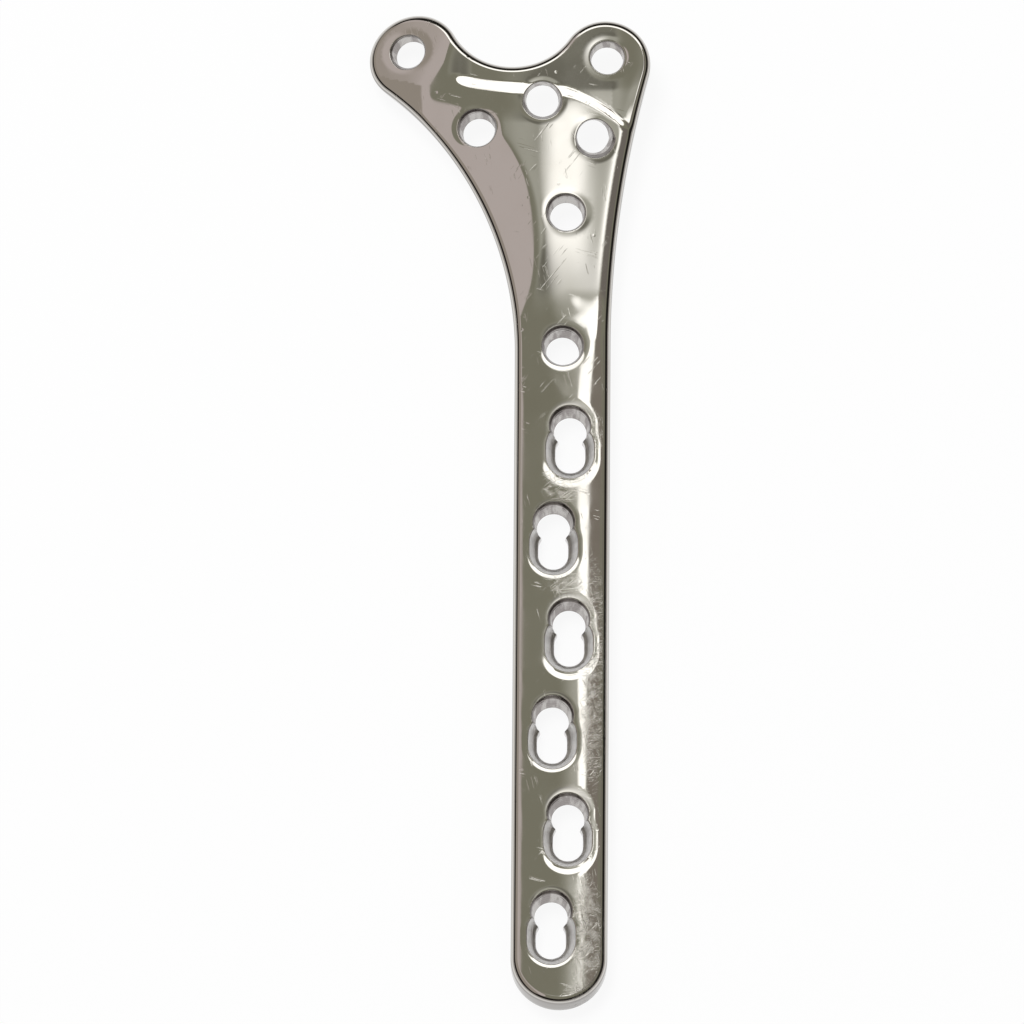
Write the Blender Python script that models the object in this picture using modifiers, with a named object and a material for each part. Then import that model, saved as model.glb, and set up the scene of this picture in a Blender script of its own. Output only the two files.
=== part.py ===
"""Locking bone plate with a forked head, milled, bent and polished from one bar of stainless steel.

The plate lies bone side down on Z = 0, with its shaft along Y, its head at +Y and its outer face up.
It is made as the real one is: a flat blank is cut to its outline, its rims are rounded, the head is bent
to the bone's contour, and the screw holes are then cut through it along their own axes.
Blank coordinates are: across (X, from the shaft's middle line), along (Y, from the shaft's round end)
and height (Z, from the bone side).
"""
import bmesh
import bpy
from math import acos, asin, atan2, ceil, cos, pi, radians, sin, sqrt, tau
from mathutils import Vector

# Shaft
SHAFT_WIDTH = 0.0170
SHAFT_THICKNESS = 0.0052
CROWN_DROP = 0.0006              # how much lower the outer face is at the shaft's long edges
OUTER_EDGE_RADIUS = 0.0013
BONE_EDGE_RADIUS = 0.0006
CHANNEL_HALF_WIDTH = 0.0057      # shallow channel along the bone side, between two flat lands
CHANNEL_DEPTH = 0.0005
CHANNEL_START = 0.004
CHANNEL_RUN_OUT = 0.012

# Row of combination holes along the shaft: a threaded hole joined to a compression slot
COMBINATION_COUNT = 6
COMBINATION_PITCH = 0.018
END_MARGIN = 0.01685             # shaft's end to the middle of the first threaded part
STAGGER = 0.00145                # each hole's distance from the middle line, left and right in turn
TOP_HOLE_STEP = 0.01505          # last threaded part to the single round hole at the neck

# Threaded holes: a broken lip, a countersink, then the thread's own taper down to the bone side
THREAD_END_DIAMETER = 0.0059     # at the bone side, to the root of the thread
SHAFT_LIP_DIAMETER = 0.0076
HEAD_LIP_DIAMETER = 0.0072
EAR_LIP_DIAMETER = 0.0068
LIP_BREAK = 0.0002
COUNTERSINK_STEP = 0.0004
COUNTERSINK_DEPTH = 0.0009

# Compression slot
SLOT_WIDTH = 0.0053
SLOT_NEAR = 0.0037               # threaded part's middle to the slot's first and last middle
SLOT_FAR = 0.00545
RAMP_DIAMETER = 0.0088
RAMP_DEPTH = 0.0023
RAMP_SPHERE_RADIUS = 0.00426
RAMP_SPHERE_HEIGHT = 0.00051     # of the ramp's centre over the outer face
RAMP_STEP = 0.0003

# Head, with places along the plate measured from the single round hole at the neck
HEAD_THICKNESS = 0.0048
LEFT_FLANK_START = -0.0011
RIGHT_FLANK_START = 0.0007
LEFT_EAR_RADIUS = 0.0079
LEFT_EAR_HOLE = (-0.0276, 0.0551)
LEFT_EAR_SHIFT = (0.0011, -0.0011)
RIGHT_EAR_RADIUS = 0.0080
RIGHT_EAR_HOLE = (0.0076, 0.0534)
RIGHT_EAR_SHIFT = (-0.0003, -0.0011)
NOTCH_RADIUS = 0.0121
TOP_HOLE = (-0.0039, 0.0455)
LEFT_HOLE = (-0.0153, 0.0403)
RIGHT_HOLE = (0.0055, 0.0385)
LOW_HOLE = (0.0005, 0.0248)
TOP_HOLE_LEAN = (0.0, 0.18)      # how far the screw leans across and along for each unit of depth
RIGHT_HOLE_LEAN = (-0.10, 0.33)

# Contour of the head: it rises along the plate and falls away to the left, as the bone does
FLARE_START = -0.012
FLARE_LENGTH = 0.036
FLARE_SLOPE = 0.09
WRAP_START = -0.004
WRAP_RADIUS = 0.107

# How finely curves are faceted
CHORD_ERROR = 0.00002
RIM_SEGMENTS = 4
BONE_RIM_SEGMENTS = 2
HOLE_STEPS = 32
RAMP_STEPS = 4
STRIP_COUNT = 5                  # strips across the shaft
HEAD_STATION = 0.004             # spacing of the facets along the head
SHAFT_STATION = 0.009
CHANNEL_STATIONS = 3             # facets along the channel's run-out
SHARP_ANGLE = radians(30)        # edges that turn by more stay sharp

# Tolerances of the modelling steps
CUTTER_REACH = 0.003             # cutters stand this far out of both faces
SAME_PLACE = 0.00001             # points nearer than this are one
SPLIT_SNAP = 0.00002             # a split takes up points this near to its line
SLOPE_STEP = 0.0001              # for the contour's slopes by differences
WELD_DISTANCE = 0.00003          # closes the slivers where a hole's rim runs close by a facet's corner

STEEL_COLOUR = (0.60, 0.585, 0.56, 1.0)
STEEL_ROUGHNESS = 0.12

NECK = END_MARGIN + (COMBINATION_COUNT - 1) * COMBINATION_PITCH + TOP_HOLE_STEP


def from_neck(place):
    """A head place as blank coordinates."""
    return Vector((place[0], NECK + place[1]))


def smooth_step(value):
    value = min(max(value, 0.0), 1.0)
    return value * value * (3 - 2 * value)


# Outline of the blank

def flank_circle(side, start, ear, ear_radius):
    """The hollow arc that leaves the shaft's straight edge at start and runs into an ear's arc."""
    half = SHAFT_WIDTH / 2
    gap = half - side * ear.x
    rise = ear.y - NECK - start
    radius = (gap ** 2 + rise ** 2 - ear_radius ** 2) / (2 * (ear_radius - gap))
    return Vector((side * (half + radius), NECK + start)), radius, -1


def notch_circle(left, right):
    """The hollow arc between the ears, which runs into both of them."""
    left_reach = NOTCH_RADIUS + LEFT_EAR_RADIUS
    right_reach = NOTCH_RADIUS + RIGHT_EAR_RADIUS
    way = right - left
    along = (left_reach ** 2 - right_reach ** 2 + way.length_squared) / (2 * way.length)
    beside = sqrt(left_reach ** 2 - along ** 2)
    across_way = Vector((-way.y, way.x)).normalized()
    return left + way.normalized() * along + across_way * beside, NOTCH_RADIUS, -1


def outline_circles():
    """The outline's arcs, in order round the metal; side is 1 for a bulge and -1 for a hollow."""
    half = SHAFT_WIDTH / 2
    left_ear = from_neck(LEFT_EAR_HOLE) + Vector(LEFT_EAR_SHIFT)
    right_ear = from_neck(RIGHT_EAR_HOLE) + Vector(RIGHT_EAR_SHIFT)
    return [
        (Vector((0, half)), half, 1),
        flank_circle(1, RIGHT_FLANK_START, right_ear, RIGHT_EAR_RADIUS),
        (right_ear, RIGHT_EAR_RADIUS, 1),
        notch_circle(left_ear, right_ear),
        (left_ear, LEFT_EAR_RADIUS, 1),
        flank_circle(-1, LEFT_FLANK_START, left_ear, LEFT_EAR_RADIUS),
    ]


def tangent_heading(start, end):
    """Heading of the line that touches one arc and the next, with the metal on its left."""
    way = end[0] - start[0]
    share = (end[2] * end[1] - start[2] * start[1]) / way.length
    return atan2(way.y, way.x) - asin(min(max(share, -1.0), 1.0))


def outline_points():
    """Points along the arcs; where an arc ends the next one starts, so that point is kept once."""
    circles = outline_circles()
    headings = [tangent_heading(*pair) for pair in zip(circles, circles[1:] + circles[:1])]
    points = []
    for i, (middle, radius, side) in enumerate(circles):
        turn = (side * (headings[i] - headings[i - 1])) % tau
        count = max(2, ceil(turn / (2 * acos(1 - CHORD_ERROR / radius))))
        for step in range(count + 1):
            heading = headings[i - 1] + side * turn * step / count
            point = middle + side * radius * Vector((sin(heading), -cos(heading)))
            if not points or (point - points[-1]).length > CHORD_ERROR:
                points.append(point)
    return points


# Contour that the blank is bent to

def bend_amount(along):
    """0 on the shaft and 1 on the head."""
    return smooth_step((along - NECK - FLARE_START) / FLARE_LENGTH)


def contour_height(across, along):
    """Height that bending gives to a place of the blank."""
    way = along - NECK - FLARE_START
    share = min(max(way / FLARE_LENGTH, 0.0), 1.0)
    rise = FLARE_SLOPE * (FLARE_LENGTH * (share ** 3 - share ** 4 / 2) + max(way - FLARE_LENGTH, 0.0))
    wrapped = max(WRAP_START - across, 0.0)
    return rise - bend_amount(along) * wrapped ** 2 / (2 * WRAP_RADIUS)


def contour_normal(across, along):
    step = SLOPE_STEP
    slope_across = (contour_height(across + step, along) - contour_height(across - step, along)) / (2 * step)
    slope_along = (contour_height(across, along + step) - contour_height(across, along - step)) / (2 * step)
    return Vector((-slope_across, -slope_along, 1)).normalized()


def bent(across, along, height):
    """Where a point of the flat blank goes: thinned on the head, crowned, relieved below, and bent."""
    share = height / SHAFT_THICKNESS
    head = bend_amount(along)
    thickness = SHAFT_THICKNESS + (HEAD_THICKNESS - SHAFT_THICKNESS) * head
    crown = CROWN_DROP * (2 * across / SHAFT_WIDTH) ** 2 * (1 - head)
    channel = CHANNEL_DEPTH * max(0.0, 1 - (across / CHANNEL_HALF_WIDTH) ** 2) * (1 - head)
    channel *= smooth_step((along - CHANNEL_START) / CHANNEL_RUN_OUT)
    level = share * (thickness - crown) + (1 - share) * channel
    middle = Vector((across, along, contour_height(across, along) + thickness / 2))
    return middle + contour_normal(across, along) * (level - thickness / 2)


# Plate

def steel():
    material = bpy.data.materials.new("polished_steel")
    material.use_nodes = True
    shader = material.node_tree.nodes["Principled BSDF"]
    shader.inputs["Base Color"].default_value = STEEL_COLOUR
    shader.inputs["Metallic"].default_value = 1.0
    shader.inputs["Roughness"].default_value = STEEL_ROUGHNESS
    return material


def is_level(face):
    heights = [v.co.z for v in face.verts]
    return max(heights) - min(heights) < SAME_PLACE


def flat_blank(collection):
    """The outline extruded to the plate's thickness, as a mesh with one face on each side."""
    curve = bpy.data.curves.new("blank_outline", "CURVE")
    curve.dimensions = "2D"
    curve.fill_mode = "BOTH"
    curve.extrude = SHAFT_THICKNESS / 2
    points = outline_points()
    spline = curve.splines.new("POLY")
    spline.points.add(len(points) - 1)
    for slot, point in zip(spline.points, points):
        slot.co = (point.x, point.y, 0, 1)
    spline.use_cyclic_u = True
    outline = bpy.data.objects.new("blank_outline", curve)
    outline.location.z = SHAFT_THICKNESS / 2
    collection.objects.link(outline)
    bpy.context.view_layer.update()
    mesh = bpy.data.meshes.new_from_object(outline.evaluated_get(bpy.context.evaluated_depsgraph_get()))
    mesh.transform(outline.matrix_world)
    bpy.data.objects.remove(outline)
    work = bmesh.new()
    work.from_mesh(mesh)
    bmesh.ops.remove_doubles(work, verts=work.verts, dist=SAME_PLACE)
    work.normal_update()
    inside = [e for e in work.edges if all(is_level(f) for f in e.link_faces)]
    bmesh.ops.dissolve_edges(work, edges=inside, use_verts=False)
    return mesh, work


def round_rim(work, height, radius, segments):
    """Rounds the edges of the blank that lie at one height."""
    rim = [e for e in work.edges if all(abs(v.co.z - height) < SAME_PLACE for v in e.verts)]
    bmesh.ops.bevel(work, geom=rim, offset=radius, segments=segments, profile=0.5, affect="EDGES")


def split_at(work, axis, value):
    """Adds a line of points across the blank, so that it can bend there."""
    place, normal = Vector((0, 0, 0)), Vector((0, 0, 0))
    place[axis] = value
    normal[axis] = 1
    bmesh.ops.bisect_plane(work, geom=work.verts[:] + work.edges[:] + work.faces[:], plane_co=place,
                           plane_no=normal, dist=SPLIT_SNAP)


def split_lines(points):
    """Where the blank is split: strips across its whole width, and stations along it."""
    strip = SHAFT_WIDTH / STRIP_COUNT
    low, high = min(p.x for p in points), max(p.x for p in points)
    strips = [(k + 0.5) * strip for k in range(ceil(low / strip), int(high / strip) + 1)]
    bend_start, top = NECK + FLARE_START, max(p.y for p in points)
    stations = [CHANNEL_START + CHANNEL_RUN_OUT * k / CHANNEL_STATIONS for k in range(CHANNEL_STATIONS + 1)]
    reach = bend_start - stations[-1]
    count = max(1, round(reach / SHAFT_STATION))
    stations += [stations[-1] + reach * (k + 1) / count for k in range(count)]
    stations += [bend_start + HEAD_STATION * k for k in range(1, ceil((top - bend_start) / HEAD_STATION))]
    return strips, stations


def make_plate(collection):
    mesh, work = flat_blank(collection)
    round_rim(work, SHAFT_THICKNESS, OUTER_EDGE_RADIUS, RIM_SEGMENTS)
    round_rim(work, 0.0, BONE_EDGE_RADIUS, BONE_RIM_SEGMENTS)
    strips, stations = split_lines(outline_points())
    for value in strips:
        split_at(work, 0, value)
    for edge in (-CHANNEL_HALF_WIDTH, CHANNEL_HALF_WIDTH):
        split_at(work, 0, edge)
    for value in stations:
        split_at(work, 1, value)
    for vert in work.verts:
        vert.co = bent(*vert.co)
    bmesh.ops.triangulate(work, faces=work.faces)
    bmesh.ops.recalc_face_normals(work, faces=work.faces)
    work.to_mesh(mesh)
    work.free()
    mesh.name = "bone_plate"
    mesh.materials.append(steel())
    mesh.shade_smooth()
    mesh.set_sharp_from_angle(angle=SHARP_ANGLE)
    plate = bpy.data.objects.new("bone_plate", mesh)
    collection.objects.link(plate)
    for axis in (0, 1):
        values = [v.co[axis] for v in mesh.vertices]
        plate.location[axis] = -(min(values) + max(values)) / 2
    return plate


# Screw holes

def threaded_profile(lip_diameter):
    """Radius and height of a threaded hole, top to bottom, with the outer face at height 0."""
    lip = lip_diameter / 2
    end = THREAD_END_DIAMETER / 2
    return [
        (lip, CUTTER_REACH),
        (lip, 0),
        (lip - LIP_BREAK, -LIP_BREAK),
        (lip - COUNTERSINK_STEP, -COUNTERSINK_DEPTH),
        (end, -SHAFT_THICKNESS),
        (end, -SHAFT_THICKNESS - CUTTER_REACH),
    ]


def slot_profile():
    """Radius and height of the compression slot's ramp and walls, top to bottom."""
    ramp = []
    for step in range(RAMP_STEPS):
        depth = LIP_BREAK + (RAMP_DEPTH - LIP_BREAK) * step / (RAMP_STEPS - 1)
        ramp.append((sqrt(RAMP_SPHERE_RADIUS ** 2 - (RAMP_SPHERE_HEIGHT + depth) ** 2), -depth))
    return [
        (RAMP_DIAMETER / 2, CUTTER_REACH),
        (RAMP_DIAMETER / 2, 0),
        *ramp,
        (SLOT_WIDTH / 2, -RAMP_DEPTH - RAMP_STEP),
        (SLOT_WIDTH / 2, -SHAFT_THICKNESS - CUTTER_REACH),
    ]


def add_cutter(name, mesh, plate, cutters):
    """A cutter that moves with the plate."""
    cutter = bpy.data.objects.new(name, mesh)
    cutter.parent = plate
    cutter.hide_render = True
    cutter.display_type = "WIRE"
    cutters.objects.link(cutter)
    return cutter


def cut_with(plate, cutters):
    """Cuts the plate with a whole collection of cutters that stand clear of each other."""
    cut = plate.modifiers.new(cutters.name, "BOOLEAN")
    cut.operation = "DIFFERENCE"
    cut.solver = "EXACT"
    cut.operand_type = "COLLECTION"
    cut.collection = cutters
    weld = plate.modifiers.new(cutters.name + "_weld", "WELD")
    weld.merge_threshold = WELD_DISTANCE


def combination_place(index):
    """The middle of a combination hole's threaded part."""
    side = 1 if index % 2 else -1
    return Vector((side * STAGGER, END_MARGIN + index * COMBINATION_PITCH))


def outer_face_place(place):
    return bent(place.x, place.y, SHAFT_THICKNESS)


def threaded_cutter(name, place, lip_diameter, plate, cutters, lean=(0.0, 0.0)):
    """A turned cutter that stands square on the outer face, or leans by a share of its depth."""
    profile = threaded_profile(lip_diameter)
    points = [(0, profile[0][1])] + profile + [(0, profile[-1][1])]
    mesh = bpy.data.meshes.new(name)
    work = bmesh.new()
    verts = [work.verts.new((radius, 0, height)) for radius, height in points]
    for first, second in zip(verts, verts[1:]):
        work.edges.new((first, second))
    work.to_mesh(mesh)
    work.free()
    cutter = add_cutter(name, mesh, plate, cutters)
    cutter.location = outer_face_place(place)
    axis = contour_normal(place.x, place.y) - Vector((lean[0], lean[1], 0))
    cutter.rotation_euler = axis.to_track_quat("Z", "Y").to_euler()
    cutter.rotation_euler.rotate_axis("Z", pi / HOLE_STEPS)
    screw = cutter.modifiers.new("turned", "SCREW")
    screw.steps = HOLE_STEPS
    screw.render_steps = HOLE_STEPS
    screw.use_merge_vertices = True
    screw.merge_threshold = SAME_PLACE
    screw.use_normal_calculate = True


def slot_mesh():
    """The slot's profile carried round a racetrack: two half turns and two straight runs."""
    travel = SLOT_FAR - SLOT_NEAR
    work = bmesh.new()
    verts = [work.verts.new((radius, 0, height)) for radius, height in slot_profile()]
    front = verts + [work.edges.new(pair) for pair in zip(verts, verts[1:])]
    for turn_middle, run in ((0, -travel), (-travel, travel)):
        turned = bmesh.ops.spin(work, geom=front, cent=(0, turn_middle, 0), axis=(0, 0, 1), angle=pi,
                                steps=HOLE_STEPS // 2)
        moved = bmesh.ops.extrude_edge_only(work, edges=[e for e in turned["geom_last"]
                                                         if isinstance(e, bmesh.types.BMEdge)])["geom"]
        front = [item for item in moved if not isinstance(item, bmesh.types.BMFace)]
        for item in front:
            if isinstance(item, bmesh.types.BMVert):
                item.co.y += run
    bmesh.ops.remove_doubles(work, verts=work.verts, dist=SAME_PLACE)
    bmesh.ops.holes_fill(work, edges=work.edges)
    bmesh.ops.recalc_face_normals(work, faces=work.faces)
    mesh = bpy.data.meshes.new("compression_slot")
    work.to_mesh(mesh)
    work.free()
    return mesh


def drill_threaded_holes(plate, cutters):
    for index in range(COMBINATION_COUNT):
        name = f"combination_thread_{index + 1}"
        threaded_cutter(name, combination_place(index), SHAFT_LIP_DIAMETER, plate, cutters)
    threaded_cutter("neck_hole", from_neck((0, 0)), SHAFT_LIP_DIAMETER, plate, cutters)
    threaded_cutter("low_hole", from_neck(LOW_HOLE), HEAD_LIP_DIAMETER, plate, cutters)
    threaded_cutter("left_hole", from_neck(LEFT_HOLE), HEAD_LIP_DIAMETER, plate, cutters)
    threaded_cutter("right_hole", from_neck(RIGHT_HOLE), HEAD_LIP_DIAMETER, plate, cutters, RIGHT_HOLE_LEAN)
    threaded_cutter("top_hole", from_neck(TOP_HOLE), HEAD_LIP_DIAMETER, plate, cutters, TOP_HOLE_LEAN)
    threaded_cutter("left_ear_hole", from_neck(LEFT_EAR_HOLE), EAR_LIP_DIAMETER, plate, cutters)
    threaded_cutter("right_ear_hole", from_neck(RIGHT_EAR_HOLE), EAR_LIP_DIAMETER, plate, cutters)
    cut_with(plate, cutters)


def mill_compression_slots(plate, cutters):
    mesh = slot_mesh()
    for index in range(COMBINATION_COUNT):
        slot = add_cutter(f"compression_slot_{index + 1}", mesh, plate, cutters)
        slot.location = outer_face_place(combination_place(index)) - Vector((0, SLOT_NEAR, 0))
    cut_with(plate, cutters)


def main():
    for item in list(bpy.data.objects):
        bpy.data.objects.remove(item)
    groups = [bpy.data.collections.new(name) for name in ("bone_plate", "compression_slots", "threaded_holes")]
    for group in groups:
        bpy.context.scene.collection.children.link(group)
    plate = make_plate(groups[0])
    mill_compression_slots(plate, groups[1])
    drill_threaded_holes(plate, groups[2])


main()
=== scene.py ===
"""Looks of the bone plate: one finely meshed, mirror-polished steel surface with threaded holes, in a studio.

The surface follows the plate's own construction. A flat blank is described by across (X, from the shaft's
middle line), along (Y, from the shaft's round end) and height (Z, from the bone side); it is bent to the
bone's contour, and its holes are turned about their own axes. Forging and polishing have softened the rims,
dished the outer face round the holes and left soft bevels on the head, which is what makes the reflections swim.
"""

from math import asin, atan2, pi, radians, sqrt, tau

import bpy
import numpy as np
from mathutils import Matrix, Vector
from mathutils.geometry import delaunay_2d_cdt
from mathutils.kdtree import KDTree


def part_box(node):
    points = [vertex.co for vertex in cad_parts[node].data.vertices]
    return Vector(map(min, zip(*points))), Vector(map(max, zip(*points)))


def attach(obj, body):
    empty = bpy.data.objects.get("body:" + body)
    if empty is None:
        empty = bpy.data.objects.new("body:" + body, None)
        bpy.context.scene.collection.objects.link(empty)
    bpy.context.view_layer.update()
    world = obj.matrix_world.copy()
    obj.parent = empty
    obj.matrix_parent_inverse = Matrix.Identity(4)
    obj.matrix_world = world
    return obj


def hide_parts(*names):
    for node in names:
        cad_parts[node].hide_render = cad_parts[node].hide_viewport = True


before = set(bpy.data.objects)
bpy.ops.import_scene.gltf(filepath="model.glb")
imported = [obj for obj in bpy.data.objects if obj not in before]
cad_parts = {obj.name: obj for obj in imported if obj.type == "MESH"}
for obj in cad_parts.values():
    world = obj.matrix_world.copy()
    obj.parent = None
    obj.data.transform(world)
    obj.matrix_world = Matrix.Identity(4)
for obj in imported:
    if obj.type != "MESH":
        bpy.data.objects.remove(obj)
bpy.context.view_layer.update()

# Shaft, as the solid has it
SHAFT_WIDTH = 0.0170
SHAFT_THICKNESS = 0.0052
CROWN_DROP = 0.0006
OUTER_EDGE_RADIUS = 0.0013
BONE_EDGE_RADIUS = 0.0006
CHANNEL_HALF_WIDTH = 0.0057
CHANNEL_DEPTH = 0.0005
CHANNEL_START = 0.004
CHANNEL_RUN_OUT = 0.012

# Row of combination holes
COMBINATION_COUNT = 6
COMBINATION_PITCH = 0.018
END_MARGIN = 0.01685
STAGGER = 0.00145
TOP_HOLE_STEP = 0.01505

# Threaded holes
THREAD_END_DIAMETER = 0.0059
SHAFT_LIP_DIAMETER = 0.0076
HEAD_LIP_DIAMETER = 0.0072
EAR_LIP_DIAMETER = 0.0068
LIP_BREAK = 0.0002
COUNTERSINK_STEP = 0.0004
COUNTERSINK_DEPTH = 0.0009

# Compression slots
SLOT_WIDTH = 0.0053
SLOT_NEAR = 0.0037
SLOT_FAR = 0.00545
RAMP_DIAMETER = 0.0088
RAMP_DEPTH = 0.0023
RAMP_SPHERE_RADIUS = 0.00426
RAMP_SPHERE_HEIGHT = 0.00051
RAMP_STEP = 0.0003

# Head
HEAD_THICKNESS = 0.0048
LEFT_FLANK_START = -0.0011
RIGHT_FLANK_START = 0.0007
LEFT_EAR_RADIUS = 0.0079
LEFT_EAR_HOLE = (-0.0276, 0.0551)
LEFT_EAR_SHIFT = (0.0011, -0.0011)
RIGHT_EAR_RADIUS = 0.0080
RIGHT_EAR_HOLE = (0.0076, 0.0534)
RIGHT_EAR_SHIFT = (-0.0003, -0.0011)
NOTCH_RADIUS = 0.0121
TOP_HOLE = (-0.0039, 0.0455)
LEFT_HOLE = (-0.0153, 0.0403)
RIGHT_HOLE = (0.0055, 0.0385)
LOW_HOLE = (0.0005, 0.0248)
SQUARE = (0.0, 0.0)              # lean of the holes that stand square on the face
TOP_HOLE_LEAN = (0.0, 0.18)
RIGHT_HOLE_LEAN = (-0.10, 0.33)

# Contour of the head
FLARE_START = -0.012
FLARE_LENGTH = 0.036
FLARE_SLOPE = 0.09
WRAP_START = -0.004
WRAP_RADIUS = 0.107

# What polishing and thread cutting add to the solid
LIP_ROUND = 0.0002               # radius that polishing leaves on each hole's lip
# How far the outer face dips at a threaded hole's lip, and how far out that reaches
THREADED_DISH = (0.00004, 0.0012)
# At the left-hand and right-hand combination holes, with how much further it reaches at the slot's far end
SLOT_DISHES = ((0.00005, 0.0010, 0.0), (0.000072, 0.0015, 0.0005))
DISH_BLEND = 0.0012              # how softly the dishes of a combination hole's two parts run together
THREAD_PITCH = 0.0008
THREAD_HEIGHT = 0.00012          # crest over root
THREAD_FULLNESS = 0.8            # below 1 the thread's crests are broader than its roots
THREAD_START = 0.00025           # length over which the thread rises below the countersink
BONE_BREAK = 0.00015             # broken edge of the holes on the bone side

# Soft forms of the head's outer face. Along is from the neck
BEVEL_WIDTH = 0.0023             # the right edge is ground down this far in from the outline
BEVEL_SLOPE = 0.15
BEVEL_SOFT = 0.0005
BEVEL_FADE = 0.003               # it comes in over this length from the middle line
BEVEL_HIGH = (0.040, 0.012)      # where along the plate it runs out
HUMP_START = -0.006              # the face falls to the right over the hump
HUMP_WIDTH = 0.013
HUMP_SLOPE = 0.055
HUMP_LOW = (0.001, 0.010)        # where along the plate the hump starts, and over what length
HUMP_HIGH = (0.041, 0.007)       # and where it runs out
HUMP_REST = 0.25                 # share of its height that the face keeps above that
FLANK_MIDDLE = (-0.0260, 0.0200)  # the left flank is ground down inside this ellipse
FLANK_SIZE = (0.0220, 0.0260)
FLANK_SLOPE = 0.11
FLANK_SOFT = 0.0007
POCKET_START = -0.0125           # from here to the left ear the face runs straight on
EAR_CORNER = (-0.0245, 0.0483)   # where the left ear bends down from it
EAR_TURN = 30                    # degrees that the bend's upper part leans inward
EAR_SLOPE = 0.16
EAR_SOFT = 0.0008
SHOULDER_MIDDLE = (-0.004, 0.0475)  # a low step runs over the head above its holes
SHOULDER_DROP = 0.00036
SHOULDER_WIDTH = 0.0026
SHOULDER_CURVES = (-8, 30)       # how it curves to the left and to the right
SHOULDER_START = -0.021
SHOULDER_RISE = 0.005
SHOULDER_END = 0.0085
SHOULDER_FALL = 0.0065           # length over which it runs out on the right
SHOULDER_SLOPE = 0.035           # how the face falls on from it towards the ears

# How finely the surface is meshed
OUTLINE_STEP = 0.0005
FACE_STEP = 0.00047
BONE_FACE_STEP = 0.0011
RIM_ROWS = 8
SIDE_ROWS = 3
BONE_RIM_ROWS = 4
FACE_ROWS = 4                    # rings on the outer face round each hole
FACE_ROW_STEP = 0.00026
LIP_ROWS = 4
COUNTERSINK_ROWS = 2
THREAD_ROWS = 28
AROUND_HOLE = 72
AROUND_LOCK = 56                 # round a combination hole's threaded part
AROUND_SLOT = (6, 3, 24, 3, 6)   # round its slot: shoulder, straight, half turn, straight, shoulder
RAMP_SAMPLES = 12                # heights at which the slot's ramp is worked out
EDGE_CLEARANCE = 0.62            # least distance of a face's inner points to its edges, in steps of its grid
SLOPE_STEP = 0.00002             # for slopes by differences
SETTLE_TRIES = 6                 # rounds of working out where a hole meets a face
MEET_TRIES = 8
MESH_MERGE = 1e-7
MESH_SCALE = 1000                # the faces are filled in millimetres
TINY = 1e-9

LIP_TURN = radians(80)           # how far round a lip's rounding goes before the countersink takes over
COUNTERSINK_LEAST = 0.0003       # least depth of the countersink, at the low side of a leaning hole
FIRST_WAIST = 0.4                # first guess of the angle where the two parts of a combination hole meet

# Steel
STEEL_COLOUR = (0.62, 0.60, 0.57, 1)
STEEL_STAIN = (0.585, 0.56, 0.525, 1)
# Painted shade: a darker base colour for the plate's upright sides and the steep part of its holes' lips
SIDE_PAINTED_SHADE = (0.33, 0.315, 0.30, 1)
STEEL_ROUGHNESS = (0.03, 0.075)  # from the cleanest to the most handled places
SCRATCH_ROUGHNESS = 0.16
SCUFF_ROUGHNESS = 0.20
# Finishes of the holes' parts: name, colour, stain, and roughness from and to. The countersink's dark colours are
# painted shade and the ramp's pale colours a painted highlight
THREAD_FINISH = ("threaded_steel", (0.52, 0.50, 0.48, 1), (0.31, 0.285, 0.275, 1), (0.09, 0.20))
# Painted shade: the countersink's near-black colour and stain
COUNTERSINK_PAINTED_SHADE = ("countersink_painted_shade", (0.20, 0.18, 0.17, 1), (0.13, 0.115, 0.105, 1), (0.12, 0.22))
# Painted highlight: the ramp's near-white colour and stain
RAMP_PAINTED_HIGHLIGHT = ("ramp_painted_highlight", (0.88, 0.87, 0.86, 1), (0.78, 0.77, 0.76, 1), (0.42, 0.52))
MARK_DEPTH = 0.000004            # of the cutter's marks in the holes
SCRATCH_DEPTH = 0.000009
WAVE_DEPTH = 0.000012            # of the slow waves that buffing leaves
DENT_DEPTH = 0.00002

# Textures: scale, detail and distortion, then the range of values that shows
SMUDGES = ((130.0, 5.0, 0.4), (0.35, 0.75))
RUBBING = ((900.0, 4.0), (0.35, 0.65))
STAINS = ((70.0, 4.0), (0.45, 0.8))
WAVES = (190.0, 1.0)
WAVE_STRETCH = (1, 1.6, 1)
DENT_SCALE = 420.0
DENT_SIZE = (0.16, 0.06)         # from a dent's rim to its bottom, in cells
DENT_AREAS = ((160.0, 1.0), (0.6, 0.68))
SCRATCH_LINES = ((2.0, 0.4), (0.62, 0.68))
SCRATCH_AREAS = (240.0, 1.0)
SCRATCH_AREA_EDGE = 0.1
FINE_SCRATCHES = 0.5             # how strong the scratches all over are, beside those in scuffed places
SCUFF_FADE = (1.3, 0.3)          # a scuffed place's border and full strength, in its half sizes
SIDE_SLOPES = (0.55, 0.25)       # upward part of the normal, from where the painted shade on the sides starts to where it is full
MARKS = ((500.0, 3.0), (0.3, 0.7))
MARK_STRETCH = (1, 1, 0.06)
FILM = ((800.0, 3.0), (0.40, 0.60))
FILM_STRETCH = (1, 1, 6)

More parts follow.
